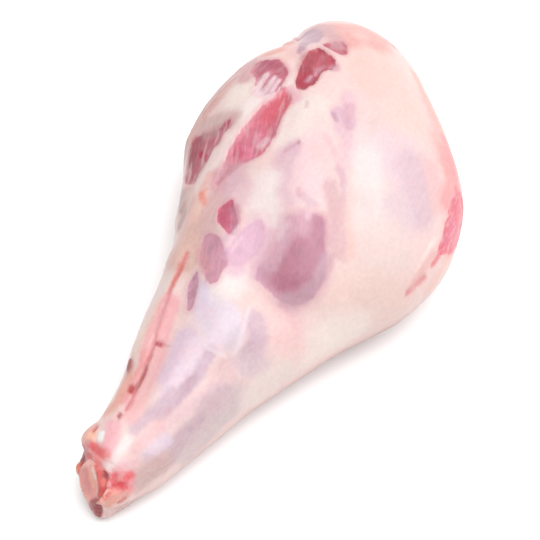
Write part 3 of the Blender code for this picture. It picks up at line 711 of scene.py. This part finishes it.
def noise_of(tree, places, wavelength, detail=3.0, rough=0.55):
    """Noise with that wavelength, in the places' own unit."""
    return add_node(tree, "ShaderNodeTexNoise", {
        "Vector": places, "Scale": 1 / wavelength, "Detail": detail, "Roughness": rough,
    }).outputs["Fac"]


def ramp(tree, value, low, high, to_low=0.0, to_high=1.0):
    return add_node(tree, "ShaderNodeMapRange", {
        "Value": value, "From Min": low, "From Max": high, "To Min": to_low, "To Max": to_high,
    }, interpolation_type="SMOOTHSTEP").outputs["Result"]


def math(tree, operation, a, b):
    return add_node(tree, "ShaderNodeMath", {0: a, 1: b}, operation=operation).outputs[0]


def mixed(tree, share, a, b, blend="MIX"):
    made = add_node(tree, "ShaderNodeMix", {0: share, 6: a, 7: b}, data_type="RGBA", blend_type=blend)
    return made.outputs[2]


def rgba(colour):
    return (*(linear(colour) * ALBEDO), 1.0)


def make_skin_material():
    material = new_material("lamb_skin")
    tree = material.node_tree
    place = add_node(tree, "ShaderNodeTexCoord").outputs["Object"]
    in_mm = add_node(tree, "ShaderNodeVectorMath", {0: place, 1: (1000, 1000, 1000)},
                     operation="MULTIPLY").outputs[0]
    drawn = add_node(tree, "ShaderNodeVectorMath", {0: place, 1: (160, 1000, 1000)},
                     operation="MULTIPLY").outputs[0]
    grain = attribute(tree, "grain")

    # fat and silverskin: cloudy tone, faint drawn fibres, fine mottle
    fat = mixed(tree, 1.0, attribute(tree, "fat_colour"), (ALBEDO, ALBEDO, ALBEDO, 1), "MULTIPLY")
    clouds = ramp(tree, noise_of(tree, in_mm, 13.0, 4.0), 0.42, 0.68)
    fat = mixed(tree, math(tree, "MULTIPLY", clouds, 0.16), fat, rgba((248, 206, 204)))
    fibres = ramp(tree, noise_of(tree, drawn, 2.2, 3.0), 0.35, 0.7, 0.0, 0.12)
    fat = mixed(tree, fibres, fat, rgba((255, 240, 236)))
    mottle = ramp(tree, noise_of(tree, in_mm, 2.6, 4.0, 0.65), 0.3, 0.75, 0.955, 1.035)
    fat = mixed(tree, 1.0, fat, mottle, "MULTIPLY")

    # lean: dark and light fibres, then streaks of fat
    threads = noise_of(tree, grain, 1.5, 4.0, 0.6)
    tone = ramp(tree, threads, 0.3, 0.72, 0.9, 1.08)
    blots = ramp(tree, noise_of(tree, in_mm, 5.0, 3.0, 0.6), 0.32, 0.68, 0.9, 1.1)
    lean = mixed(tree, 1.0, attribute(tree, "lean_colour"), (ALBEDO, ALBEDO, ALBEDO, 1), "MULTIPLY")
    veiled = attribute(tree, "crisp", "Fac")  # a soft-edged patch lies under a membrane that dulls this
    lean = mixed(tree, veiled, mixed(tree, veiled, lean, tone, "MULTIPLY"), blots, "MULTIPLY")
    streaks = noise_of(tree, grain, 2.6, 3.0, 0.5)
    reach = ramp(tree, streaks, 0.5, 0.66)
    streak_share = math(tree, "MULTIPLY", reach, attribute(tree, "marbling", "Fac"))
    lean = mixed(tree, streak_share, lean, rgba((246, 214, 214)))

    ragged = math(tree, "SUBTRACT", noise_of(tree, in_mm, 2.4, 4.0, 0.6), 0.5)
    torn = math(tree, "MULTIPLY", math(tree, "SUBTRACT", threads, 0.5), 2.2)
    waver = math(tree, "ADD", math(tree, "MULTIPLY", ragged, 1.6), torn)
    waver = math(tree, "MULTIPLY", waver, veiled)
    edge = math(tree, "ADD", attribute(tree, "lean_edge", "Fac"), waver)
    share = ramp(tree, edge, -0.55, 0.55)
    stain = ramp(tree, edge, -4.0, 0.2, 0.0, 0.42)
    fat = mixed(tree, stain, fat, mixed(tree, 0.45, lean, rgba(ROSE)))
    colour = add_node(tree, "ShaderNodeHueSaturation", {
        "Color": mixed(tree, share, fat, lean), "Saturation": RICHNESS}).outputs["Color"]

    rough = ramp(tree, share, 0.0, 1.0, 0.46, 0.36)
    fine = noise_of(tree, in_mm, 1.3, 4.0, 0.6)
    height = add_node(tree, "ShaderNodeMix", {0: share, 2: fine, 3: threads}).outputs[0]
    bump = add_node(tree, "ShaderNodeBump", {"Height": height, "Strength": 0.35, "Distance": 0.0004})
    return finish_material(material, {
        "Base Color": colour, "Roughness": rough, "Normal": bump.outputs["Normal"],
        "IOR": 1.4, "Subsurface Weight": 0.18, "Subsurface Radius": (1.0, 0.35, 0.25),
        "Subsurface Scale": 0.004, "Coat Weight": 0.12, "Coat Roughness": 0.3,
    })


def make_bone_material():
    material = new_material("sawn_bone")
    tree = material.node_tree
    place = add_node(tree, "ShaderNodeTexCoord").outputs["Object"]
    in_mm = add_node(tree, "ShaderNodeVectorMath", {0: place, 1: (1000, 1000, 1000)},
                     operation="MULTIPLY").outputs[0]
    depth = attribute(tree, "rim", "Fac")
    pores = noise_of(tree, in_mm, 0.9, 3.0, 0.6)
    clouds = noise_of(tree, in_mm, 4.5, 3.0, 0.5)
    colour = mixed(tree, 1.0, attribute(tree, "bone_colour"), (ALBEDO, ALBEDO, ALBEDO, 1), "MULTIPLY")
    colour = mixed(tree, 1.0, colour, ramp(tree, clouds, 0.3, 0.7, 0.93, 1.06), "MULTIPLY")
    within = math(tree, "MULTIPLY", ramp(tree, depth, 1.0, 3.4), ramp(tree, pores, 0.5, 0.72, 0.0, 0.18))
    colour = mixed(tree, within, colour, rgba((200, 112, 110)))
    bump = add_node(tree, "ShaderNodeBump", {"Height": pores, "Strength": 0.3, "Distance": 0.0004})
    return finish_material(material, {
        "Base Color": colour, "Roughness": 0.5, "Normal": bump.outputs["Normal"],
        "Subsurface Weight": 0.1, "Subsurface Radius": (1.0, 0.4, 0.3), "Subsurface Scale": 0.002,
    })


# ---- The bone ----
BONE_VOXEL = 0.6
MARROW_SINK = 0.5
MARROW = (250, 172, 166)
BONE_RIM = (250, 186, 170)


def make_bone(node):
    bone = new_piece("sawn_shank_bone", node.data.copy())
    remesh = bone.modifiers.new("fine", "REMESH")
    remesh.mode = "VOXEL"
    remesh.voxel_size = BONE_VOXEL * MM
    mesh = apply_modifiers(bone)
    points = points_of(mesh)
    normals = normals_of(mesh)
    saw = np.array(SAW_NORMAL)
    behind = (np.array(SAW_POINT) - points) @ saw
    face = (behind < 1.2) & (normals @ saw > 0.5)
    side = points[(behind > 1.5) & (behind < 3.5) & (normals @ saw < 0.3)]
    rim = np.zeros(len(points))
    for index in np.flatnonzero(face):
        rim[index] = np.linalg.norm(side - points[index], axis=1).min()
    pits = lumps(points, 1.6, 5) * 0.25
    sunk = face * smooth(1.6, 3.2, rim) * (MARROW_SINK + pits)
    base = smooth(0.6, 3.4, rim)[:, None]
    colour = linear(BONE_RIM) + base * (linear(MARROW) - linear(BONE_RIM))
    lay_strokes(points, surface_tree(mesh), BONE_STROKES, [colour])
    place_points(mesh, points - saw * sunk[:, None])
    paint(mesh, "rim", rim)
    paint(mesh, "bone_colour", colour)
    mesh.shade_smooth()
    return bone


# ---- The floor, lights and camera ----
def make_floor():
    mesh = bpy.data.meshes.new("floor")
    reach = 4.0
    corners = [(-reach, -reach, 0), (reach, -reach, 0), (reach, reach, 0), (-reach, reach, 0)]
    mesh.from_pydata(corners, [], [(0, 1, 2, 3)])
    floor = new_piece("floor", mesh)
    material = new_material("pale_floor")
    mesh.materials.append(finish_material(material, {
        "Base Color": (0.9, 0.9, 0.9, 1), "Roughness": 0.9, "Specular IOR Level": 0.1}))


def light_up():
    world = bpy.data.worlds.new("studio")
    world.use_nodes = True
    world.node_tree.nodes["Background"].inputs["Color"].default_value = (1, 1, 1, 1)
    world.node_tree.nodes["Background"].inputs["Strength"].default_value = 0.69
    bpy.context.scene.world = world
    lamp = bpy.data.lights.new("key", "SUN")
    lamp.energy = 3.56
    lamp.angle = radians(75)
    key = bpy.data.objects.new("key", lamp)
    key.rotation_euler = Vector((0.15, -0.3, 1.0)).to_track_quat("Z", "Y").to_euler()
    bpy.context.scene.collection.objects.link(key)
    bpy.context.scene.view_settings.view_transform = "Standard"


AZIMUTH, ELEVATION = radians(-64.3), radians(56)
CAMERA_RANGE = 0.88
CAMERA_TARGET = Vector((-0.016, 0.002, 0.04))


def add_camera():
    lens = bpy.data.cameras.new("camera")
    lens.lens = 100
    lens.sensor_width = 36
    camera = bpy.data.objects.new("camera", lens)
    back = Vector((np.sin(AZIMUTH) * np.cos(ELEVATION), -np.cos(AZIMUTH) * np.cos(ELEVATION),
                   np.sin(ELEVATION)))
    camera.location = CAMERA_TARGET + CAMERA_RANGE * back
    camera.rotation_euler = back.to_track_quat("Z", "Y").to_euler()
    bpy.context.scene.collection.objects.link(camera)
    bpy.context.scene.camera = camera


def main():
    meat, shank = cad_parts["leg_meat"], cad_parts["shank_bone"]
    leg = make_leg(meat.data, shank.data)
    dress_leg(leg)
    leg.data.materials.clear()
    leg.data.materials.append(make_skin_material())
    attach(leg, "root")
    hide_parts("leg_meat")

    bone = make_bone(shank)
    bone.data.materials.clear()
    bone.data.materials.append(make_bone_material())
    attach(bone, "root")
    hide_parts("shank_bone")

    make_floor()
    light_up()
    add_camera()


main()
